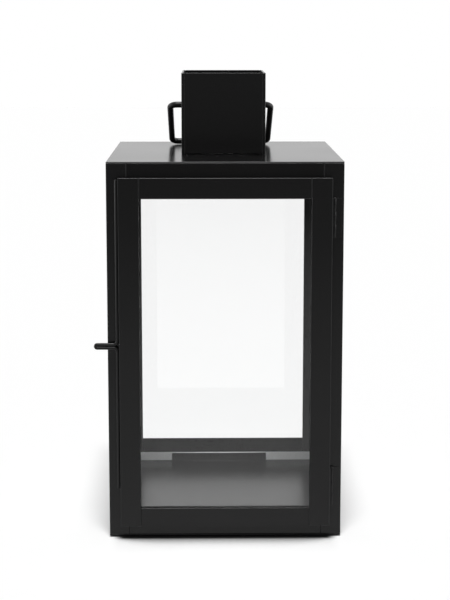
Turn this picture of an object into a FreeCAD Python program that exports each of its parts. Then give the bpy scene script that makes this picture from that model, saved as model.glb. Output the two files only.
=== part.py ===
# Candle lantern: a black sheet-steel box with a flat roof, a square chimney, glass walls,
# a framed glass door hinged on the right and a wire bail handle folded back over the roof.
# Frame: origin on the ground under the centre of the base, +X right seen from the door, +Y back, +Z up.
# Heights in the sheet are measured from the underside of the base plate.
import FreeCAD, Part
import os
import re
import Sketcher

doc = FreeCAD.newDocument("candle_lantern")
dims = doc.addObject("Spreadsheet::Sheet", "Dims")

# Driving dimensions in millimetres
SIZES = {
    "foot_height": 1.2,
    "foot_diameter": 10.0,
    "foot_inset": 11.0,
    "body_width": 200.0,
    "body_depth": 200.0,
    "body_height": 325.5,
    "steel": 1.2,
    "post_front_leg": 17.0,
    "post_leg": 20.1,
    "top_rail_height": 25.8,
    "top_rail_leg": 17.0,
    "front_rail_top": 26.6,
    "low_rail_top": 27.8,
    "tray_top": 6.0,
    "tray_play": 0.5,
    "tab_width": 94.0,
    "tab_shift": -3.8,
    "tab_gap": 0.5,
    "seal": 1.0,
    "seal_top": 14.2,
    "pane": 3.0,
    "pane_play": 0.5,
    "pane_headroom": 4.6,
    "clip_width": 30.0,
    "clip_drop": 16.6,
    "flue_lip": 1.4,
    "chimney_width": 73.8,
    "chimney_shift": -0.7,
    "chimney_height": 71.5,
    "chimney_steel": 1.6,
    "chimney_flange": 3.0,
    "chimney_recess": 0.4,
    "panel_lift": 1.0,
    "bail_wire": 5.5,
    "bail_spread": 90.6,
    "bail_shift": -3.0,
    "bail_reach": 80.5,
    "bail_stub": 20.0,
    "bail_bend": 6.0,
    "bail_pivot_height": 41.8,
    "bail_clearance": 0.3,
    "door_side_margin": 10.0,
    "door_bottom": 10.5,
    "door_headroom": 13.0,
    "door_border": 17.7,
    "door_sill": 16.2,
    "door_depth": 6.0,
    "door_gap": 0.5,
    "door_pane_margin": 11.0,
    "door_clip_length": 12.0,
    "door_clip_steel": 1.0,
    "door_clip_overlap": 4.0,
    "door_clip_pitch": 102.0,
    "hinge_length": 33.0,
    "hinge_inset": 17.7,
    "hinge_leaf": 0.8,
    "hinge_leaf_width": 5.0,
    "hinge_barrel": 3.0,
    "hinge_pin": 1.4,
    "hinge_standoff": 1.9,
    "hinge_side": 1.8,
    "hinge_clearance": 0.3,
    "pin_fit": 0.05,
    "pin_head": 2.4,
    "pin_head_height": 0.7,
    "door_leaf_width": 1.8,
    "pull_wire": 2.86,
    "pull_top_inset": 1.5,
    "pull_bottom_inset": 33.3,
    "pull_lever_drop": 143.8,
    "pull_pitch": 2.92,
    "pull_reach": 21.5,
    "pull_root_bend": 3.4,
    "pull_tip_bend": 1.45,
    "pull_weld_gap": 0.05,
    "pull_from_back": 2.7,
    "magnet_width": 11.0,
    "magnet_depth": 4.0,
    "magnet_height": 20.0,
}
for row, (alias, amount) in enumerate(SIZES.items(), start=1):
    dims.set(f"A{row}", alias.replace("_", " "))
    dims.set(f"B{row}", str(amount))
    dims.setAlias(f"B{row}", alias)
doc.recompute()


def size(text):
    """Write an expression on the sheet's aliases so that the document can evaluate it."""
    return "(" + re.sub(r"[a-z_]+", lambda word: "Dims." * (word[0] in SIZES) + word[0], text) + ")"


def value(text):
    """The number that an expression has now."""
    result = dims.evalExpression(size(text))
    return float(getattr(result, "Value", result))


PLANES = {"XY": "XY_Plane", "XZ": "XZ_Plane", "YZ": "YZ_Plane"}
parts = []


def new_body(label):
    body = doc.addObject("PartDesign::Body", label)
    body.Label = label
    parts.append(body)
    return body


def new_sketch(body, plane, start):
    """A sketch on one of the body's own planes, moved along the plane's normal."""
    sketch = body.newObject("Sketcher::SketchObject", body.Name + "_sketch")
    origin = next(item for item in body.Origin.OriginFeatures if item.Role == PLANES[plane])
    sketch.AttachmentSupport = (origin, [""])
    sketch.MapMode = "FlatFace"
    sketch.setExpression("AttachmentOffset.Base.z", size(start))
    return sketch


def tie(sketch, kind, first, text):
    """Add a constraint whose datum follows the sheet."""
    index = sketch.addConstraint(Sketcher.Constraint(kind, *first, value(text)))
    sketch.setExpression(f"Constraints[{index}]", size(text))


def add_outline(sketch, corners):
    """A closed outline with every corner tied to the sheet."""
    points = [FreeCAD.Vector(value(across), value(along), 0) for across, along in corners]
    first = sketch.GeometryCount
    count = len(points)
    for step in range(count):
        sketch.addGeometry(Part.LineSegment(points[step], points[(step + 1) % count]), False)
    for step in range(count):
        following = first + (step + 1) % count
        sketch.addConstraint(Sketcher.Constraint("Coincident", first + step, 2, following, 1))
    for step, (across, along) in enumerate(corners):
        tie(sketch, "DistanceX", (-1, 1, first + step, 1), across)
        tie(sketch, "DistanceY", (-1, 1, first + step, 1), along)


def add_circle(sketch, across, along, radius):
    centre = FreeCAD.Vector(value(across), value(along), 0)
    circle = sketch.addGeometry(Part.Circle(centre, FreeCAD.Vector(0, 0, 1), value(radius)), False)
    tie(sketch, "DistanceX", (-1, 1, circle, 3), across)
    tie(sketch, "DistanceY", (-1, 1, circle, 3), along)
    tie(sketch, "Radius", (circle,), radius)


def box(low, high):
    """Corners of a rectangle between two opposite corners."""
    return [low, (high[0], low[1]), high, (low[0], high[1])]


def add_pad(body, plane, start, length, outlines=(), circles=()):
    sketch = new_sketch(body, plane, start)
    for corners in outlines:
        add_outline(sketch, corners)
    for circle in circles:
        add_circle(sketch, *circle)
    pad = body.newObject("PartDesign::Pad", body.Name + "_pad")
    pad.Profile = sketch
    pad.setExpression("Length", size(length))
    doc.recompute()
    return pad


def plate(label, plane, start, length, outlines, circles=()):
    body = new_body(label)
    add_pad(body, plane, start, length, outlines, circles)
    return body


def add_path(sketch, corners, bends):
    """An open path of level and upright runs, with a tangent arc of its own radius at each bend."""
    points = [FreeCAD.Vector(value(across), value(along), 0) for across, along in corners]
    radii = [value(bend) for bend in bends]
    runs = []
    for step in range(len(points) - 1):
        heading = (points[step + 1] - points[step]).normalize()
        begin = points[step] + heading * (radii[step - 1] if step else 0)
        end = points[step + 1] - heading * (radii[step] if step < len(radii) else 0)
        run = sketch.addGeometry(Part.LineSegment(begin, end), False)
        level = abs(heading.x) > abs(heading.y)
        sketch.addConstraint(Sketcher.Constraint("Horizontal" if level else "Vertical", run))
        if level:
            tie(sketch, "DistanceY", (-1, 1, run, 1), corners[step][1])
        else:
            tie(sketch, "DistanceX", (-1, 1, run, 1), corners[step][0])
        runs.append((run, begin, end, heading, level))
    for step, bend in enumerate(bends):
        run, _, end, heading, _ = runs[step]
        following, begin, _, onward, _ = runs[step + 1]
        centre = end + onward * radii[step]
        middle = centre + (heading - onward).normalize() * radii[step]
        turns_left = heading.cross(onward).z > 0
        ends = (end, begin) if turns_left else (begin, end)
        near, far = (1, 2) if turns_left else (2, 1)
        arc = sketch.addGeometry(Part.Arc(ends[0], middle, ends[1]), False)
        sketch.addConstraint(Sketcher.Constraint("Tangent", run, 2, arc, near))
        sketch.addConstraint(Sketcher.Constraint("Tangent", arc, far, following, 1))
        tie(sketch, "Radius", (arc,), bend)
    for run, point, corner in ((runs[0], 1, corners[0]), (runs[-1], 2, corners[-1])):
        if run[4]:
            tie(sketch, "DistanceX", (-1, 1, run[0], point), corner[0])
        else:
            tie(sketch, "DistanceY", (-1, 1, run[0], point), corner[1])


def bent_wire(label, path_plane, path_start, corners, bends, end_plane, end_start, end_circle):
    """A round wire swept along a path, its end circle drawn square to the first run."""
    body = new_body(label)
    spine = new_sketch(body, path_plane, path_start)
    add_path(spine, corners, bends)
    end = new_sketch(body, end_plane, end_start)
    add_circle(end, *end_circle)
    doc.recompute()
    pipe = body.newObject("PartDesign::AdditivePipe", label + "_pipe")
    pipe.Profile = end
    pipe.Spine = spine
    doc.recompute()
    return body


# Places worked out from the driving dimensions, as expressions on the sheet
HALF_X = "( body_width / 2 )"
HALF_Y = "( body_depth / 2 )"
IN_X = "( body_width / 2 - steel )"
IN_Y = "( body_depth / 2 - steel )"
ROOF_LOW = "( body_height - steel )"
PANE_X = "( body_width / 2 - steel - pane )"
PANE_Y = "( body_depth / 2 - steel - pane )"
TAB_X = "( body_width / 2 - steel - pane - steel )"
TAB_Y = "( body_depth / 2 - steel - pane - steel )"
FRONT_OPEN = "( body_width / 2 - post_front_leg )"
REAR_OPEN = "( body_width / 2 - post_leg )"
SIDE_OPEN = "( body_depth / 2 - post_leg )"
TOP_RAIL_LOW = "( body_height - steel - top_rail_height )"
TOP_LEG_LOW = "( body_height - steel - steel )"


def corner_post(label, side, front):
    """An angle with its outer corner on the corner of the lantern."""
    x_out = f"{side} * {HALF_X}"
    x_in = f"{side} * {IN_X}"
    x_leg = f"{side} * {FRONT_OPEN if front else REAR_OPEN}"
    face = -1 if front else 1
    y_out = f"{face} * {HALF_Y}"
    y_in = f"{face} * {IN_Y}"
    y_leg = f"{face} * {SIDE_OPEN}"
    angle = [(x_out, y_out), (x_leg, y_out), (x_leg, y_in), (x_in, y_in), (x_in, y_leg), (x_out, y_leg)]
    plate(label, "XY", "steel", f"{ROOF_LOW} - steel", [angle])


for name, side, front in (("front_left_post", -1, True), ("front_right_post", 1, True),
                          ("rear_left_post", -1, False), ("rear_right_post", 1, False)):
    corner_post(name, side, front)

# Feet: the only pieces that touch the ground, every other piece stands their height above it
foot_x = f"( {HALF_X} - foot_inset )"
foot_y = f"( {HALF_Y} - foot_inset )"
feet = []
for name, side, face in (("front_left_foot", -1, -1), ("front_right_foot", 1, -1),
                         ("rear_left_foot", -1, 1), ("rear_right_foot", 1, 1)):
    feet.append(plate(name, "XY", "0", "foot_height", [],
                      [(f"{side} * {foot_x}", f"{face} * {foot_y}", "foot_diameter / 2")]))

# Base plate, and the loose tray that lies on it with its edges folded down
plate("base_plate", "XY", "0", "steel", [box((f"-{HALF_X}", f"-{HALF_Y}"), (HALF_X, HALF_Y))])

tray_x = f"( {IN_X} - tray_play )"
tray_y = f"( {IN_Y} - tray_play )"
tray = plate("base_tray", "XY", "tray_top - steel", "steel",
             [box((f"-{tray_x}", f"-{tray_y}"), (tray_x, tray_y))])
lip = [box((f"-{tray_x}", f"-{tray_y}"), (tray_x, tray_y)),
       box((f"-{tray_x} + steel", f"-{tray_y} + steel"), (f"{tray_x} - steel", f"{tray_y} - steel"))]
add_pad(tray, "XY", "steel", "tray_top - steel - steel / 2", lip)
tab_low = "tray_top - steel / 2"
tab_length = "seal_top - tab_gap - tray_top + steel / 2"
tab_ends = ("tab_shift - tab_width / 2", "tab_shift + tab_width / 2")
rear_tab = [box((tab_ends[0], f"{TAB_Y} - seal"), (tab_ends[1], f"{PANE_Y} - seal"))]
add_pad(tray, "XY", tab_low, tab_length, rear_tab)
for side in (-1, 1):
    outer = f"{side} * {PANE_X}"
    inner = f"{side} * {TAB_X}"
    add_pad(tray, "XY", tab_low, tab_length, [box((inner, "-tab_width / 2"), (outer, "tab_width / 2"))])

# Rails between the posts: plain strips at the foot, angles that carry the roof at the top
front_face = (f"-{HALF_Y}", f"-{IN_Y}")
plate("front_bottom_rail", "XY", "steel", "front_rail_top - steel",
      [box((f"-{FRONT_OPEN}", front_face[0]), (FRONT_OPEN, front_face[1]))])
plate("rear_bottom_rail", "XY", "steel", "low_rail_top - steel",
      [box((f"-{REAR_OPEN}", IN_Y), (REAR_OPEN, HALF_Y))])
for name, side in (("left_bottom_rail", -1), ("right_bottom_rail", 1)):
    plate(name, "XY", "steel", "low_rail_top - steel",
          [box((f"{side} * {HALF_X}", f"-{SIDE_OPEN}"), (f"{side} * {IN_X}", SIDE_OPEN))])


def top_rail_outline(side, outer, inner, half):
    """An angle: its upright leg in the wall's face, its level leg under the roof."""
    leg = f"{side} * ( {half} - top_rail_leg )"
    return [(outer, TOP_RAIL_LOW), (outer, ROOF_LOW), (leg, ROOF_LOW), (leg, TOP_LEG_LOW),
            (inner, TOP_LEG_LOW), (inner, TOP_RAIL_LOW)]


for name, side, reach in (("front_top_rail", -1, FRONT_OPEN), ("rear_top_rail", 1, REAR_OPEN)):
    plate(name, "YZ", f"-{reach}", f"2 * {reach}",
          [top_rail_outline(side, f"{side} * {HALF_Y}", f"{side} * {IN_Y}", HALF_Y)])
for name, side in (("left_top_rail", -1), ("right_top_rail", 1)):
    plate(name, "XZ", f"-{SIDE_OPEN}", f"2 * {SIDE_OPEN}",
          [top_rail_outline(side, f"{side} * {HALF_X}", f"{side} * {IN_X}", HALF_X)])

# Roof plate with the flue hole
chimney_in_x = "( chimney_width / 2 - chimney_flange )"
chimney_in_y = "( chimney_width / 2 - chimney_steel )"
flue_x = f"( {chimney_in_x} - flue_lip )"
flue_y = f"( {chimney_in_y} - flue_lip )"
plate("roof_plate", "XY", ROOF_LOW, "steel",
      [box((f"-{HALF_X}", f"-{HALF_Y}"), (HALF_X, HALF_Y)),
       box((f"chimney_shift - {flue_x}", f"-{flue_y}"), (f"chimney_shift + {flue_x}", flue_y))])

# Chimney: side plates with the bail's holes stand on the roof, the panels sit between their flanges
chimney_half = "( chimney_width / 2 )"
side_reach = f"( {chimney_half} - chimney_recess )"
chimney_top = "( body_height + chimney_height )"
bail_axis_z = "( body_height + bail_pivot_height )"
bail_hole = "bail_wire / 2 + bail_clearance"
flange_in = f"( {side_reach} - chimney_steel )"
flanges = [box((f"-{side_reach}", "body_height"), (f"-{flange_in}", chimney_top)),
           box((flange_in, "body_height"), (side_reach, chimney_top))]
for name, web, flange in (("chimney_left_plate", f"-{chimney_half}", f"-{chimney_in_y}"),
                          ("chimney_right_plate", chimney_in_y, chimney_in_x)):
    side_plate = plate(name, "YZ", f"chimney_shift + {web}", "chimney_steel",
                       [box((f"-{side_reach}", "body_height"), (side_reach, chimney_top))],
                       [("0", bail_axis_z, bail_hole)])
    add_pad(side_plate, "YZ", f"chimney_shift + {flange}", "chimney_flange - chimney_steel", flanges)
for name, start in (("chimney_front_plate", chimney_in_y), ("chimney_rear_plate", f"-{chimney_half}")):
    plate(name, "XZ", start, "chimney_steel",
          [box((f"chimney_shift - {chimney_in_x}", "body_height + panel_lift"),
               (f"chimney_shift + {chimney_in_x}", chimney_top))])

# Panes that stand on the tray against the posts, and the clips that hold their heads
pane_rise = f"{TOP_LEG_LOW} - pane_headroom - tray_top"
side_pane = f"( {IN_Y} - pane_play )"
rear_pane = f"( {PANE_X} - pane_play )"
plate("rear_glass", "XY", "tray_top", pane_rise, [box((f"-{rear_pane}", PANE_Y), (rear_pane, IN_Y))])
plate("rear_glass_seal", "XY", "tray_top", "seal_top - tray_top",
      [box((f"-{rear_pane}", f"{PANE_Y} - seal"), (rear_pane, PANE_Y))])
plate("rear_glass_clip", "XY", f"{TOP_LEG_LOW} - clip_drop", "clip_drop",
      [box(("-clip_width / 2", TAB_Y), ("clip_width / 2", PANE_Y))])
for word, side in (("left", -1), ("right", 1)):
    plate(f"{word}_glass", "XY", "tray_top", pane_rise,
          [box((f"{side} * {PANE_X}", f"-{side_pane}"), (f"{side} * {IN_X}", side_pane))])
    plate(f"{word}_glass_clip", "XY", f"{TOP_LEG_LOW} - clip_drop", "clip_drop",
          [box((f"{side} * {TAB_X}", "-clip_width / 2"), (f"{side} * {PANE_X}", "clip_width / 2"))])

# Door frame: stiles run the full height, rails fit between them, all folded from sheet
door_back = "( -body_depth / 2 - door_gap )"
door_front = "( -body_depth / 2 - door_gap - door_depth )"
door_skin = "( -body_depth / 2 - door_gap - door_depth + steel )"
door_half = "( body_width / 2 - door_side_margin )"
window_half = f"( {door_half} - door_border )"
door_top = "( body_height - door_headroom )"
door_height = f"( {door_top} - door_bottom )"
for word, side in (("left", -1), ("right", 1)):
    outer = f"{side} * {door_half}"
    inner = f"{side} * {window_half}"
    fold = f"{side} * ( {door_half} - steel )"
    stile = plate(f"door_{word}_stile", "XY", "door_bottom", door_height,
                  [[(inner, door_front), (outer, door_front), (outer, door_back),
                    (fold, door_back), (fold, door_skin), (inner, door_skin)]])
    for end in ("door_bottom", f"{door_top} - steel"):
        add_pad(stile, "XY", end, "steel", [box((inner, door_front), (outer, door_back))])

rail_span = ("-" + window_half, f"2 * {window_half}")
for word, low, high, fold_low, fold_high in (
        ("top", f"{door_top} - door_border", door_top, f"{door_top} - steel", door_top),
        ("bottom", "door_bottom", "door_bottom + door_sill", "door_bottom", "door_bottom + steel")):
    rail = plate(f"door_{word}_rail", "YZ", *rail_span, [box((door_front, low), (door_skin, high))])
    add_pad(rail, "YZ", *rail_span, [box((door_front, fold_low), (door_back, fold_high))])

# Door pane behind the frame's face, and the clips that press on its back
pane_reach = f"( {window_half} + door_pane_margin )"
pane_back = f"( {door_skin} + pane )"
plate("door_glass", "XY", "door_bottom + door_sill - door_pane_margin",
      f"{door_height} - door_border - door_sill + 2 * door_pane_margin",
      [box((f"-{pane_reach}", door_skin), (pane_reach, pane_back))])

clips = doc.addObject("Part::Compound", "door_glass_clips")
clips.Label = "door_glass_clips"
clip_boxes = []
clip_reach = f"( {door_half} - steel - {pane_reach} + door_clip_overlap )"
for side in (-1, 1):
    for level in (-1, 0, 1):
        clip = doc.addObject("Part::Box", "door_clip")
        clip.setExpression("Length", size(clip_reach))
        clip.setExpression("Width", size("door_clip_steel"))
        clip.setExpression("Height", size("door_clip_length"))
        left_end = f"-{door_half} + steel" if side < 0 else f"{pane_reach} - door_clip_overlap"
        clip.setExpression("Placement.Base.x", size(left_end))
        clip.setExpression("Placement.Base.y", size(pane_back))
        clip.setExpression("Placement.Base.z", size(
            f"( door_bottom + {door_top} ) / 2 + {level} * door_clip_pitch - door_clip_length / 2"))
        clip_boxes.append(clip)
clips.Links = clip_boxes
parts.append(clips)

# Hinges: the frame leaf carries the outer knuckles, the door leaf the middle one
axis_x = f"( {door_half} + hinge_side )"
axis_y = f"( -{HALF_Y} - hinge_standoff )"
knuckle = "( ( hinge_length - 2 * hinge_clearance ) / 3 )"
barrel = "hinge_barrel / 2"
swept = "( hinge_barrel / 2 + hinge_clearance )"
leaf_face = f"( -{HALF_Y} - hinge_leaf )"
leaf_near = f"( {axis_x} + sqrt( {swept} ^ 2 - ( hinge_standoff - hinge_leaf ) ^ 2 ) )"
door_leaf_out = f"( {door_half} + hinge_leaf )"
door_leaf_near = f"( {axis_y} - sqrt( {swept} ^ 2 - ( hinge_side - hinge_leaf ) ^ 2 ) )"
hinge_levels = (("upper", f"( {door_top} - hinge_inset - hinge_length )"),
                ("lower", "( door_bottom + hinge_inset )"))
for word, low in hinge_levels:
    frame_bore = [(axis_x, axis_y, barrel), (axis_x, axis_y, "hinge_pin / 2 + pin_fit")]
    frame_leaf = plate(f"{word}_hinge_frame_leaf", "XY", low, "hinge_length",
                       [box((leaf_near, leaf_face), (f"{leaf_near} + hinge_leaf_width", f"-{HALF_Y}"))])
    for start in (low, f"{low} + 2 * ( {knuckle} + hinge_clearance )"):
        add_pad(frame_leaf, "XY", start, knuckle,
                [box((axis_x, leaf_face), (f"{leaf_near} + hinge_leaf", f"-{HALF_Y}"))])
        add_pad(frame_leaf, "XY", start, knuckle, circles=frame_bore)

    door_bore = [(axis_x, axis_y, barrel), (axis_x, axis_y, "hinge_pin / 2 + hinge_clearance")]
    middle = f"{low} + {knuckle} + hinge_clearance"
    door_leaf = plate(f"{word}_hinge_door_leaf", "XY", low, "hinge_length",
                      [box((door_half, f"{door_leaf_near} - door_leaf_width"), (door_leaf_out, door_leaf_near))])
    add_pad(door_leaf, "XY", middle, knuckle,
            [box((door_half, f"{door_leaf_near} - door_leaf_width"), (f"{door_half} + hinge_leaf", axis_y))])
    add_pad(door_leaf, "XY", middle, knuckle, circles=door_bore)

    pin = plate(f"{word}_hinge_pin", "XY", low, "hinge_length", [], [(axis_x, axis_y, "hinge_pin / 2")])
    add_pad(pin, "XY", f"{low} + hinge_length", "pin_head_height", circles=[(axis_x, axis_y, "pin_head / 2")])

# Door pull: one wire along the door's left edge, folded into a hairpin lever
pull_x = f"( -{door_half} - pull_wire / 2 - pull_weld_gap )"
pull_y = f"( {door_back} - pull_from_back )"
lever_tip = f"( -{door_half} - pull_reach + pull_wire / 2 )"
pull_top = f"( {door_top} - pull_top_inset )"
pull_bottom = "( door_bottom + pull_bottom_inset )"
lever_level = f"( {door_top} - pull_lever_drop )"
lever_high = f"{lever_level} + pull_pitch / 2"
lever_low = f"{lever_level} - pull_pitch / 2"
bent_wire("door_pull", "XZ", f"-{pull_y}",
          [(pull_x, pull_top), (pull_x, lever_high), (lever_tip, lever_high),
           (lever_tip, lever_low), (pull_x, lever_low), (pull_x, pull_bottom)],
          ["pull_root_bend", "pull_tip_bend", "pull_tip_bend", "pull_root_bend"],
          "XY", pull_top, (pull_x, pull_y, "pull_wire / 2"))

# Magnet behind the left front post that holds the door shut
magnet_x = f"( -{PANE_X} + pane_play )"
plate("door_magnet", "XY", f"{lever_level} - magnet_height / 2", "magnet_height",
      [box((magnet_x, f"-{IN_Y}"), (f"{magnet_x} + magnet_width", f"-{IN_Y} + magnet_depth"))])

# Bail: drawn flat about its pivot line, then tipped back until the bar rests above the roof
arm_left = "( bail_shift - bail_spread / 2 )"
arm_right = "( bail_shift + bail_spread / 2 )"
bail = bent_wire("bail_handle", "XY", "0",
                 [(f"{arm_left} + bail_stub", "0"), (arm_left, "0"), (arm_left, "bail_reach"),
                  (arm_right, "bail_reach"), (arm_right, "0"), (f"{arm_right} - bail_stub", "0")],
                 ["bail_bend"] * 4,
                 "YZ", f"{arm_left} + bail_stub", ("0", "0", "bail_wire / 2"))
bail.Placement = FreeCAD.Placement(FreeCAD.Vector(), FreeCAD.Rotation(FreeCAD.Vector(1, 0, 0), -1))
bail_drop = "( bail_pivot_height - bail_wire / 2 - bail_clearance )"
bail.setExpression("Placement.Rotation.Angle", size(f"-asin( {bail_drop} / bail_reach )"))

for item in parts:
    if item not in feet:
        lift = f"foot_height + {bail_axis_z}" if item is bail else "foot_height"
        item.setExpression("Placement.Base.z", size(lift))

doc.recompute()
for item in doc.Objects:
    if "Invalid" in item.State or "Error" in item.State:
        raise RuntimeError(f"{item.Label} failed: {item.State}")
for item in parts:
    if item.Shape.isNull() or not item.Shape.isValid() or not item.Shape.Solids:
        raise RuntimeError(f"{item.Label} has no valid shape")

os.makedirs("parts", exist_ok=True)
for item in parts:
    item.Shape.exportStep(f"parts/{item.Label}.step")
    print(item.Label, len(item.Shape.Solids), round(item.Shape.Volume, 2), item.Shape.BoundBox)
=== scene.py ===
"""Looks of a black sheet-steel candle lantern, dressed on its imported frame."""
import math

import bmesh
import bpy
from bpy.props import FloatProperty, FloatVectorProperty, PointerProperty
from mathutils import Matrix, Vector


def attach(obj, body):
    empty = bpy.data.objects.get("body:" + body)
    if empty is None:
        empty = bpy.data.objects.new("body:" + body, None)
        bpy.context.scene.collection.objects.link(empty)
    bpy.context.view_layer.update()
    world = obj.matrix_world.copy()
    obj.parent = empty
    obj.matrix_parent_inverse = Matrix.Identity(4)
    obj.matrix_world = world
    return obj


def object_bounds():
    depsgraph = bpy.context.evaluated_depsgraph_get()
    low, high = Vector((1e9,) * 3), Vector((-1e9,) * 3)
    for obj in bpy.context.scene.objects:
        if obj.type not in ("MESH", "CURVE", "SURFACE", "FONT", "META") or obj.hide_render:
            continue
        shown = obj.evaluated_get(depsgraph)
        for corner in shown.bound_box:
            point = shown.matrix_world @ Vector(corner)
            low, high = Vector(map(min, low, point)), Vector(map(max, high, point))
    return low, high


bl_info = {
    "name": "Candle Lantern Finish",
    "version": (1, 0, 0),
    "blender": (4, 5, 0),
    "location": "View3D > Sidebar > Lantern",
    "description": "Powder coat, glass, welds and studio for a sheet-steel candle lantern",
    "category": "Object",
}

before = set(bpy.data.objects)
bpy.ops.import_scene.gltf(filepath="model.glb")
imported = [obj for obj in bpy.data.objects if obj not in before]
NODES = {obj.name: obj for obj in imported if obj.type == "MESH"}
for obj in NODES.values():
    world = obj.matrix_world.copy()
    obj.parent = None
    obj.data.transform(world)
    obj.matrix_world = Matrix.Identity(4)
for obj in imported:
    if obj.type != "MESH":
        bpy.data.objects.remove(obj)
CAD_BOX = [list(corner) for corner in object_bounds()]
MM = 0.001

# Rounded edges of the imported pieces
CORNER_REACH = 0.002 * MM
FLAT_ANGLE = math.radians(0.5)
SHARP_ANGLE = math.radians(40.0)
EDGE_STEPS = 3

# Weld beads on the door pull, placed at shares of its length
WELD_LENGTH = 9.0 * MM
WELD_RADIUS = 0.7 * MM
WELD_PLACES = (0.04, 0.35, 0.72, 0.96)

# Ripples of a weld bead: pitch and change of size as shares of its radius, phase in radians per ripple
RIPPLE_LEAST = 3
RIPPLE_PITCH = 0.9
RIPPLE_CHANGE = 0.08
RIPPLE_PHASE = 5.1

# Texture of the coat and of the dull materials, with scales per metre
CLOUD_SCALE = 22.0
PATCH_SCALE = 12.0
PATCH_SPAN = (0.3, 0.7)
GLOSS_CHANGE = (-0.006, 0.008)
PEEL_STRENGTH = 0.35
FINE_DETAIL = 2.0

# White floor in metres, and the levels of its painted fade in reflections and its painted shadow at the
# ends of their spans
FLOOR_REACH = 6.0
FLOOR_CELLS = 8
FLOOR_WHITE = 0.9
FLOOR_ROUGHNESS = 0.9
FADE_SPAN = (-2.2, 0.1)
FADE_LEVELS = (0.12, 0.9)
CONTACT_SPAN = (0.47, 0.66)
CONTACT_LEVELS = (0.16, 1.0)
SOFT_SPAN = (0.62, 0.95)
SOFT_LEVELS = (0.88, 1.0)
CORNER_SHARE = 0.9

# Spans of direction over which the room changes in reflections, and the camera's sensor
AHEAD_SPAN = (-0.7, 0.3)
FLANK_SPAN = (0.7, 0.95)
SENSOR_MM = 36.0

POSTS = ["front_left_post", "front_right_post", "rear_left_post", "rear_right_post"]
TOP_RAILS = [f"{side}_top_rail" for side in ("front", "rear", "left", "right")]
BODY_SHEET = [
    "front_bottom_rail", "rear_bottom_rail", "left_bottom_rail", "right_bottom_rail",
    "base_plate", "rear_glass_clip", "left_glass_clip", "right_glass_clip",
]
CHIMNEY_SIDES = ["chimney_left_plate", "chimney_right_plate"]
CHIMNEY_PANELS = ["chimney_front_plate", "chimney_rear_plate"]
DOOR_FRAME = ["door_left_stile", "door_right_stile", "door_top_rail"]
DOOR_FOOT = ["door_bottom_rail", "door_glass_clips"]
HINGES = [f"{level}_hinge_{piece}" for level in ("upper", "lower")
          for piece in ("frame_leaf", "door_leaf", "pin")]
WIRES = ["bail_handle", "door_pull"]
FEET = [f"{end}_{side}_foot" for end in ("front", "rear") for side in ("left", "right")]
PANES = ["rear_glass", "left_glass", "right_glass", "door_glass"]
SEAL = "rear_glass_seal"


class LanternCoat(bpy.types.PropertyGroup):
    """Powder coat on the steel."""
    colour: FloatVectorProperty(
        name="Coat colour", description="Base colour of the black powder coat",
        subtype="COLOR", size=3, min=0.0, max=1.0, default=(0.0045, 0.0045, 0.0046))
    roughness: FloatProperty(
        name="Roughness", description="Roughness of the satin coat", min=0.0, max=1.0, default=0.24)
    roof_roughness: FloatProperty(
        name="Roof roughness", description="Roughness of the coat on the roof",
        min=0.0, max=1.0, default=0.2)
    tray_roughness: FloatProperty(
        name="Tray roughness", description="Roughness of the coat on the tray",
        min=0.0, max=1.0, default=0.262)
    peel_size: FloatProperty(
        name="Peel size", description="Width of one dimple of the coat's orange peel",
        subtype="DISTANCE", unit="LENGTH", default=1.1 * MM)
    peel_height: FloatProperty(
        name="Peel height", description="Depth of the coat's orange peel",
        subtype="DISTANCE", unit="LENGTH", default=0.0002 * MM)
    edge: FloatProperty(
        name="Edge radius", description="Rounding of the coated sheet's edges",
        subtype="DISTANCE", unit="LENGTH", default=0.55 * MM)
    fine_edge: FloatProperty(
        name="Fine edge radius",
        description="Rounding of the edges of the hinges, the chimney's panels and the door's sill",
        subtype="DISTANCE", unit="LENGTH", default=0.3 * MM)
    sheen: FloatProperty(
        name="Sheen", description="Refractive index of the coat", min=1.0, max=2.0, default=1.36)
    # Painted shade: a lower index gives the top rails a darker copy of the posts' coat
    shaded_sheen: FloatProperty(
        name="Top rail sheen", description="Refractive index of the duller coat on the top rails",
        min=1.0, max=2.0, default=1.31)
    tray_sheen: FloatProperty(
        name="Tray sheen", description="Refractive index of the coat on the tray",
        min=1.0, max=2.0, default=1.5)
    edge_sheen: FloatProperty(
        name="Edge sheen", description="Refractive index of the thin coat on the edges",
        min=1.0, max=2.0, default=1.27)
    # Painted highlight: a paler grey that is mixed into the coat on the rounded edges
    highlight_colour: FloatVectorProperty(
        name="Edge colour", description="Colour of the coat where it is thin, on the sheet's edges",
        subtype="COLOR", size=3, min=0.0, max=1.0, default=(0.085, 0.085, 0.086))
    wire_roughness: FloatProperty(
        name="Wire roughness", description="Roughness of the coat on the bent wires",
        min=0.0, max=1.0, default=0.38)


class LanternGlass(bpy.types.PropertyGroup):
    """Clear panes."""
    colour: FloatVectorProperty(
        name="Glass colour", description="Tint of the clear float glass",
        subtype="COLOR", size=3, min=0.0, max=1.0, default=(0.997, 0.999, 0.999))
    index: FloatProperty(
        name="Glass index", description="Refractive index of the panes", min=1.0, max=2.0, default=1.43)
    edge: FloatProperty(
        name="Arris", description="Ground arris on the panes' edges",
        subtype="DISTANCE", unit="LENGTH", default=0.3 * MM)


class LanternSeal(bpy.types.PropertyGroup):
    """Grey glazing strip along the foot of the rear pane."""
    colour: FloatVectorProperty(
        name="Strip colour", description="Colour of the grey strip's face",
        subtype="COLOR", size=3, min=0.0, max=1.0, default=(0.83, 0.845, 0.845))
    # Painted highlight: the strip's edges are paler than its face
    highlight_colour: FloatVectorProperty(
        name="Strip edge colour", description="Colour of the strip's paler edges",
        subtype="COLOR", size=3, min=0.0, max=1.0, default=(0.88, 0.89, 0.89))
    edge: FloatProperty(
        name="Strip edge radius", description="Rounding of the strip's edges",
        subtype="DISTANCE", unit="LENGTH", default=0.45 * MM)


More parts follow.
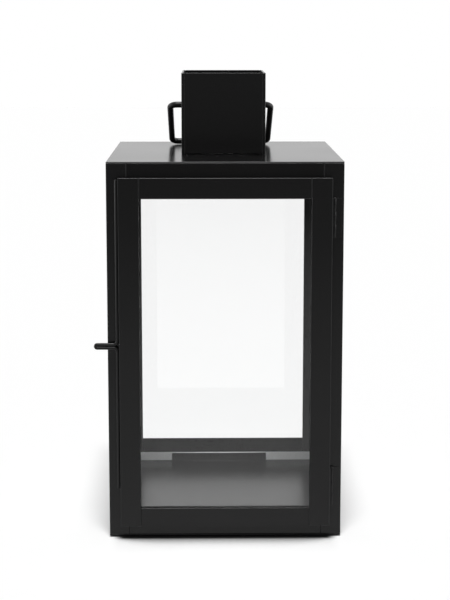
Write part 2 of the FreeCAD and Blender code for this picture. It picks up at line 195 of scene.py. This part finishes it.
class LanternStudio(bpy.types.PropertyGroup):
    """Camera and light of the plain white studio."""
    eye: FloatVectorProperty(
        name="Camera", description="Place of the camera", subtype="XYZ", unit="LENGTH", size=3,
        default=(-0.0149, -1.282, 0.4440))
    pitch: FloatProperty(
        name="Pitch", description="Tilt of the camera below level", subtype="ANGLE",
        default=math.radians(8.2))
    yaw: FloatProperty(
        name="Yaw", description="Turn of the camera to the right", subtype="ANGLE",
        default=math.radians(0.714))
    lens: FloatProperty(
        name="Lens", description="Focal length in millimetres on a 36 mm sensor", default=85.2)
    shift: FloatProperty(
        name="Shift", description="Vertical shift as a share of the frame's long side", default=-0.1257)
    ambient: FloatProperty(
        name="Ambient", description="Level of the soft light all round", min=0.0, default=0.14)
    overhead: FloatProperty(
        name="Overhead", description="Strength of the broad light overhead", min=0.0, default=3.1)
    overhead_spread: FloatProperty(
        name="Overhead spread", description="Angle across the broad light overhead", subtype="ANGLE",
        default=math.radians(13.0))
    overhead_tilt: FloatProperty(
        name="Overhead tilt", description="Lean of the broad light towards the camera", subtype="ANGLE",
        default=math.radians(11.5))
    # Painted shadow: how far the ambient occlusion that darkens the floor's colour reaches
    contact: FloatProperty(
        name="Contact shadow", description="Reach of the soft shadow where the lantern meets the floor",
        subtype="DISTANCE", unit="LENGTH", default=55.0 * MM)
    behind: FloatProperty(
        name="Backdrop", description="Brightness of the backdrop in reflections", min=0.0, default=1.0)
    flanks: FloatProperty(
        name="Flanks", description="Extra brightness of the room's sides in reflections",
        min=0.0, default=2.0)
    camera_side: FloatProperty(
        name="Camera side", description="Brightness of the room behind the camera in reflections",
        min=0.0, default=0.4)


def coat_settings():
    return bpy.context.scene.lantern_coat


def glass_settings():
    return bpy.context.scene.lantern_glass


def seal_settings():
    return bpy.context.scene.lantern_seal


def studio_settings():
    return bpy.context.scene.lantern_studio


def new_material(name):
    """A node material with its Principled shader, its nodes and a link function."""
    material = bpy.data.materials.new(name)
    material.use_nodes = True
    nodes = material.node_tree.nodes
    return material, nodes, nodes["Principled BSDF"], material.node_tree.links.new


def noise(nodes, links, scale, detail=0.0):
    """Noise in the piece's own coordinates."""
    place = nodes.new("ShaderNodeTexCoord")
    node = nodes.new("ShaderNodeTexNoise")
    node.inputs["Scale"].default_value = scale
    node.inputs["Detail"].default_value = detail
    links(place.outputs["Object"], node.inputs["Vector"])
    return node.outputs["Fac"]


def ramp(nodes, links, source, span, values, smooth=False):
    """Map a span of the source to a pair of values and hold them beyond it."""
    node = nodes.new("ShaderNodeMapRange")
    node.interpolation_type = "SMOOTHSTEP" if smooth else "LINEAR"
    node.inputs["From Min"].default_value = span[0]
    node.inputs["From Max"].default_value = span[1]
    node.inputs["To Min"].default_value = values[0]
    node.inputs["To Max"].default_value = values[1]
    links(source, node.inputs["Value"])
    return node.outputs["Result"]


def absolute(nodes, links, source):
    """A value without its sign."""
    node = nodes.new("ShaderNodeMath")
    node.operation = "ABSOLUTE"
    links(source, node.inputs[0])
    return node.outputs["Value"]


def combine(nodes, links, operation, first, second):
    """One sum on two values."""
    node = nodes.new("ShaderNodeMath")
    node.operation = operation
    links(first, node.inputs[0])
    links(second, node.inputs[1])
    return node.outputs["Value"]


def blend(nodes, links, share, plain, other):
    """Go from a plain number to another value by a share."""
    node = nodes.new("ShaderNodeMix")
    node.inputs["A"].default_value = plain
    links(share, node.inputs["Factor"])
    links(other, node.inputs["B"])
    return node.outputs["Result"]


def tone(nodes, links, source, dark, light):
    """Go from a dark to a light colour along the source."""
    node = nodes.new("ShaderNodeValToRGB")
    node.color_ramp.elements[0].color = (*dark, 1.0)
    node.color_ramp.elements[1].color = (*light, 1.0)
    links(source, node.inputs["Fac"])
    return node.outputs["Color"]


def axes(nodes, links, output):
    """The three coordinates of a place or a direction."""
    place = nodes.new("ShaderNodeTexCoord")
    split = nodes.new("ShaderNodeSeparateXYZ")
    links(place.outputs[output], split.inputs["Vector"])
    return split.outputs


def shades(colour):
    """A colour made a little darker, and a little lighter."""
    return [[share * channel for channel in colour] for share in (0.9, 1.1)]


def powder_coat(name, roughness, colour, sheen):
    """Satin powder coat: faint cloudiness, orange peel and a change of gloss from patch to patch."""
    coat = coat_settings()
    material, nodes, shader, links = new_material(name)
    cloud = noise(nodes, links, CLOUD_SCALE)
    links(tone(nodes, links, cloud, *shades(colour)), shader.inputs["Base Color"])
    patches = noise(nodes, links, PATCH_SCALE)
    gloss = ramp(nodes, links, patches, PATCH_SPAN, [roughness + change for change in GLOSS_CHANGE])
    links(gloss, shader.inputs["Roughness"])
    bump = nodes.new("ShaderNodeBump")
    bump.inputs["Strength"].default_value = PEEL_STRENGTH
    bump.inputs["Distance"].default_value = coat.peel_height
    links(noise(nodes, links, 1.0 / coat.peel_size, FINE_DETAIL), bump.inputs["Height"])
    links(bump.outputs["Normal"], shader.inputs["Normal"])
    shader.inputs["IOR"].default_value = sheen
    return material


def clear_glass(name):
    """Clear float glass with a faint cast."""
    glass = glass_settings()
    material, _, shader, _ = new_material(name)
    shader.inputs["Base Color"].default_value = (*glass.colour, 1.0)
    shader.inputs["Transmission Weight"].default_value = 1.0
    shader.inputs["IOR"].default_value = glass.index
    shader.inputs["Roughness"].default_value = 0.0
    return material


def grained(name, dark, light, grain, roughness):
    """A dull moulded or sintered surface with a fine grain."""
    material, nodes, shader, links = new_material(name)
    speckle = noise(nodes, links, grain, FINE_DETAIL)
    links(tone(nodes, links, speckle, dark, light), shader.inputs["Base Color"])
    shader.inputs["Roughness"].default_value = roughness
    return material


def coat_node(name, material, edge, edge_material=None):
    """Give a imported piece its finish, and rounded edges that may have a finish of their own."""
    piece = NODES[name]
    piece.data.materials.clear()
    piece.data.materials.append(material)
    weld = piece.modifiers.new("join_corners", "WELD")
    weld.merge_threshold = CORNER_REACH
    flat = piece.modifiers.new("whole_faces", "DECIMATE")
    flat.decimate_type = "DISSOLVE"
    flat.angle_limit = FLAT_ANGLE
    bevel = piece.modifiers.new("rounded_edges", "BEVEL")
    bevel.width = edge
    bevel.segments = EDGE_STEPS
    bevel.limit_method = "ANGLE"
    bevel.angle_limit = SHARP_ANGLE
    bevel.harden_normals = True
    if edge_material:
        piece.data.materials.append(edge_material)
        bevel.material = 1


def coat_sheet(names, label, highlight_share, roughness=None, sheen=None, edge=None):
    """Coat a group of sheet-steel pieces, with duller edges into which a painted highlight, a paler grey,
    is mixed by the given share.
    """
    coat = coat_settings()
    finish = f"powder_coat_{label}"
    face = powder_coat(finish, roughness or coat.roughness, coat.colour, sheen or coat.sheen)
    # Painted highlight: the edges' colour goes from the black coat towards a paler grey by the share
    grey = Vector(coat.colour).lerp(Vector(coat.highlight_colour), highlight_share)
    rim = powder_coat(f"{finish}_edges", coat.roughness, grey, coat.edge_sheen)
    for name in names:
        coat_node(name, face, edge or coat.edge, rim)


def node_box(name):
    """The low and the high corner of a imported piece."""
    piece = NODES[name]
    corners = [piece.matrix_world @ Vector(corner) for corner in piece.bound_box]
    low = Vector([min(corner[axis] for corner in corners) for axis in range(3)])
    high = Vector([max(corner[axis] for corner in corners) for axis in range(3)])
    return low, high


def weld_bead(name, body, start, end, radius, material):
    """A run of overlapping weld ripples between two points."""
    ripples = max(RIPPLE_LEAST, round((end - start).length / (RIPPLE_PITCH * radius)))
    mesh = bmesh.new()
    for step in range(ripples):
        share = (step + 0.5) / ripples
        swell = radius * (1.0 - RIPPLE_CHANGE + RIPPLE_CHANGE * math.sin(RIPPLE_PHASE * step))
        made = bmesh.ops.create_icosphere(mesh, subdivisions=2, radius=swell)
        bmesh.ops.translate(mesh, verts=made["verts"], vec=start.lerp(end, share))
    data = bpy.data.meshes.new(name)
    mesh.to_mesh(data)
    mesh.free()
    for face in data.polygons:
        face.use_smooth = True
    bead = bpy.data.objects.new(name, data)
    bpy.context.scene.collection.objects.link(bead)
    bead.data.materials.append(material)
    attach(bead, body)


class LANTERN_OT_body(bpy.types.Operator):
    """Coat the posts, rails and base."""
    bl_idname = "lantern.body"
    bl_label = "Body sheet"

    def execute(self, context):
        coat = coat_settings()
        # The share after each group is how much painted highlight its edges get
        coat_sheet(POSTS, "posts", highlight_share=0.4)
        # The top rails take the lower index, a painted shade
        coat_sheet(TOP_RAILS, "top_rails", highlight_share=0.2, sheen=coat.shaded_sheen)
        coat_sheet(BODY_SHEET, "body", highlight_share=0.2)
        ferrite = grained("ferrite_magnet", dark=(0.02, 0.02, 0.021), light=(0.06, 0.06, 0.062),
                          grain=2500.0, roughness=0.7)
        coat_node("door_magnet", ferrite, coat.edge)
        return {"FINISHED"}


class LANTERN_OT_level_plates(bpy.types.Operator):
    """Coat the roof and the tray, which show reflections."""
    bl_idname = "lantern.level_plates"
    bl_label = "Roof and tray"

    def execute(self, context):
        coat = coat_settings()
        # The roof's edges get a painted highlight by their share
        coat_sheet(["roof_plate"], "roof", highlight_share=0.6, roughness=coat.roof_roughness)
        coat_sheet(["base_tray"], "tray", highlight_share=0.0, roughness=coat.tray_roughness, sheen=coat.tray_sheen)
        return {"FINISHED"}


class LANTERN_OT_chimney(bpy.types.Operator):
    """Coat the chimney's plates."""
    bl_idname = "lantern.chimney"
    bl_label = "Chimney"

    def execute(self, context):
        # The chimney sides' edges get a painted highlight by their share
        coat_sheet(CHIMNEY_SIDES, "chimney_sides", highlight_share=0.35)
        coat_sheet(CHIMNEY_PANELS, "chimney_panels", highlight_share=0.0, edge=coat_settings().fine_edge)
        return {"FINISHED"}


class LANTERN_OT_door(bpy.types.Operator):
    """Coat the door's frame and clips."""
    bl_idname = "lantern.door"
    bl_label = "Door frame"

    def execute(self, context):
        # The door frame's edges get a painted highlight by their share
        coat_sheet(DOOR_FRAME, "door", highlight_share=0.25)
        coat_sheet(DOOR_FOOT, "door_foot", highlight_share=0.0, edge=coat_settings().fine_edge)
        return {"FINISHED"}


class LANTERN_OT_hinges(bpy.types.Operator):
    """Coat the hinges' leaves and pins."""
    bl_idname = "lantern.hinges"
    bl_label = "Hinges"

    def execute(self, context):
        # The hinges' edges get a painted highlight by their share
        coat_sheet(HINGES, "hinges", highlight_share=0.5, edge=coat_settings().fine_edge)
        return {"FINISHED"}


class LANTERN_OT_wires(bpy.types.Operator):
    """Coat the bail and the door pull."""
    bl_idname = "lantern.wires"
    bl_label = "Bail and pull"

    def execute(self, context):
        coat = coat_settings()
        finish = powder_coat("powder_coat_wire", coat.wire_roughness, coat.colour, coat.sheen)
        for name in WIRES:
            coat_node(name, finish, coat.edge)
        pull_low, pull_high = node_box("door_pull")
        seam = Vector((node_box("door_left_stile")[0].x, pull_high.y, 0.0))
        half = Vector((0.0, 0.0, 0.5 * WELD_LENGTH))
        for share in WELD_PLACES:
            middle = seam + Vector((0.0, 0.0, pull_low.z + share * (pull_high.z - pull_low.z)))
            weld_bead(f"pull_weld_{share:.2f}", "door", middle - half, middle + half, WELD_RADIUS, finish)
        return {"FINISHED"}


class LANTERN_OT_feet(bpy.types.Operator):
    """Give the feet their rubber."""
    bl_idname = "lantern.feet"
    bl_label = "Feet"

    def execute(self, context):
        finish = grained("rubber_foot", dark=(0.008, 0.008, 0.008), light=(0.02, 0.02, 0.02),
                         grain=1800.0, roughness=0.8)
        for name in FEET:
            coat_node(name, finish, coat_settings().edge)
        return {"FINISHED"}


class LANTERN_OT_seal(bpy.types.Operator):
    """Give the rear pane's glazing strip its grey rubber."""
    bl_idname = "lantern.seal"
    bl_label = "Glazing strip"

    def execute(self, context):
        seal = seal_settings()
        face = grained("glazing_strip", *shades(seal.colour), grain=900.0, roughness=0.6)
        # The strip's paler edges are a painted highlight
        rim = grained("glazing_strip_edges", *shades(seal.highlight_colour), grain=900.0, roughness=0.25)
        coat_node(SEAL, face, seal.edge, rim)
        return {"FINISHED"}


class LANTERN_OT_glass(bpy.types.Operator):
    """Glaze the panes."""
    bl_idname = "lantern.glass"
    bl_label = "Panes"

    def execute(self, context):
        finish = clear_glass("float_glass")
        for name in PANES:
            coat_node(name, finish, glass_settings().edge)
        return {"FINISHED"}


def floor_material(studio):
    """White floor with a painted soft contact shadow; reflections see its colour fade out in front of the
    lantern, a painted shade.
    """
    material, nodes, shader, links = new_material("studio_floor")
    shader.inputs["Roughness"].default_value = FLOOR_ROUGHNESS
    shader.inputs["Specular IOR Level"].default_value = 0.0
    place = axes(nodes, links, "Object")
    half_width = CAD_BOX[1][0]
    across = absolute(nodes, links, place["X"])
    beside = ramp(nodes, links, across, (CORNER_SHARE * half_width, half_width), (1.0, 0.0), smooth=True)
    # Painted shadow: ambient occlusion darkens the floor's colour in front of and behind the lantern,
    # fading out at its corners; glossy rays don't see it
    near = nodes.new("ShaderNodeAmbientOcclusion")
    near.inputs["Distance"].default_value = studio.contact
    dark = ramp(nodes, links, near.outputs["AO"], CONTACT_SPAN, CONTACT_LEVELS)
    soft = ramp(nodes, links, near.outputs["AO"], SOFT_SPAN, SOFT_LEVELS)
    shade = combine(nodes, links, "MULTIPLY", dark, soft)
    path = nodes.new("ShaderNodeLightPath").outputs
    direct = combine(nodes, links, "SUBTRACT", beside, path["Is Glossy Ray"])
    shadow = blend(nodes, links, direct, 1.0, shade)
    # Painted shade: for reflections and through glass, the floor's colour darkens towards the camera side
    mirrored = combine(nodes, links, "MAXIMUM", path["Is Glossy Ray"], path["Is Transmission Ray"])
    fade = ramp(nodes, links, place["Y"], FADE_SPAN, FADE_LEVELS)
    white = blend(nodes, links, mirrored, FLOOR_WHITE, fade)
    links(combine(nodes, links, "MULTIPLY", white, shadow), shader.inputs["Base Color"])
    return material


def build_world(studio):
    """Plain soft light all round; white to the camera and through glass, darker behind the camera."""
    world = bpy.data.worlds.new("studio")
    world.use_nodes = True
    bpy.context.scene.world = world
    nodes = world.node_tree.nodes
    links = world.node_tree.links.new
    ray = axes(nodes, links, "Generated")
    ahead = ramp(nodes, links, ray["Y"], AHEAD_SPAN, (studio.camera_side, studio.behind))
    across = absolute(nodes, links, ray["X"])
    flank = ramp(nodes, links, across, FLANK_SPAN, (0.0, studio.flanks))
    room = combine(nodes, links, "ADD", ahead, flank)
    path = nodes.new("ShaderNodeLightPath").outputs
    seen = combine(nodes, links, "MAXIMUM", path["Is Camera Ray"], path["Is Transmission Ray"])
    soft = blend(nodes, links, path["Is Glossy Ray"], studio.ambient, room)
    level = nodes.new("ShaderNodeMix")
    level.inputs["B"].default_value = 1.0
    links(seen, level.inputs["Factor"])
    links(soft, level.inputs["A"])
    background = nodes["Background"]
    background.inputs["Color"].default_value = (1.0, 1.0, 1.0, 1.0)
    links(level.outputs["Result"], background.inputs["Strength"])


class LANTERN_OT_stage(bpy.types.Operator):
    """Build the floor, the light and the camera."""
    bl_idname = "lantern.stage"
    bl_label = "Studio"

    def execute(self, context):
        studio = studio_settings()
        mesh = bmesh.new()
        bmesh.ops.create_grid(mesh, x_segments=FLOOR_CELLS, y_segments=FLOOR_CELLS, size=FLOOR_REACH)
        data = bpy.data.meshes.new("studio_floor")
        mesh.to_mesh(data)
        mesh.free()
        floor = bpy.data.objects.new("studio_floor", data)
        context.scene.collection.objects.link(floor)
        floor.data.materials.append(floor_material(studio))
        build_world(studio)

        lamp = bpy.data.lights.new("overhead", "SUN")
        lamp.energy = studio.overhead
        lamp.angle = studio.overhead_spread
        overhead = bpy.data.objects.new("overhead", lamp)
        overhead.location = (0.0, 0.0, 1.0)
        overhead.rotation_euler = (studio.overhead_tilt, 0.0, 0.0)
        context.scene.collection.objects.link(overhead)

        view = bpy.data.cameras.new("photo_camera")
        view.lens = studio.lens
        view.sensor_width = SENSOR_MM
        view.shift_y = studio.shift
        camera = bpy.data.objects.new("photo_camera", view)
        camera.location = studio.eye
        camera.rotation_euler = (math.pi / 2 - studio.pitch, 0.0, -studio.yaw)
        context.scene.collection.objects.link(camera)
        context.scene.camera = camera
        context.scene.view_settings.view_transform = "Standard"
        return {"FINISHED"}


STEPS = [
    LANTERN_OT_body, LANTERN_OT_level_plates, LANTERN_OT_chimney, LANTERN_OT_door,
    LANTERN_OT_hinges, LANTERN_OT_wires, LANTERN_OT_feet, LANTERN_OT_seal, LANTERN_OT_glass,
    LANTERN_OT_stage,
]


class LANTERN_PT_panel(bpy.types.Panel):
    """Lists the lantern's pieces and the sizes and colours that can be changed."""
    bl_idname = "LANTERN_PT_panel"
    bl_label = "Candle Lantern"
    bl_space_type = "VIEW_3D"
    bl_region_type = "UI"
    bl_category = "Lantern"

    def draw(self, context):
        layout = self.layout
        scene = context.scene
        for group in (scene.lantern_coat, scene.lantern_glass, scene.lantern_seal, scene.lantern_studio):
            for name in group.__annotations__:
                layout.prop(group, name)
        for step in STEPS:
            layout.operator(step.bl_idname)


CLASSES = [LanternCoat, LanternGlass, LanternSeal, LanternStudio, *STEPS, LANTERN_PT_panel]


def register():
    for cls in CLASSES:
        bpy.utils.register_class(cls)
    bpy.types.Scene.lantern_coat = PointerProperty(type=LanternCoat)
    bpy.types.Scene.lantern_glass = PointerProperty(type=LanternGlass)
    bpy.types.Scene.lantern_seal = PointerProperty(type=LanternSeal)
    bpy.types.Scene.lantern_studio = PointerProperty(type=LanternStudio)


def unregister():
    del bpy.types.Scene.lantern_coat
    del bpy.types.Scene.lantern_glass
    del bpy.types.Scene.lantern_seal
    del bpy.types.Scene.lantern_studio
    for cls in reversed(CLASSES):
        bpy.utils.unregister_class(cls)


def main():
    register()
    for step in STEPS:
        group, operator = step.bl_idname.split(".")
        getattr(getattr(bpy.ops, group), operator)()


if __name__ == "__main__":
    main()
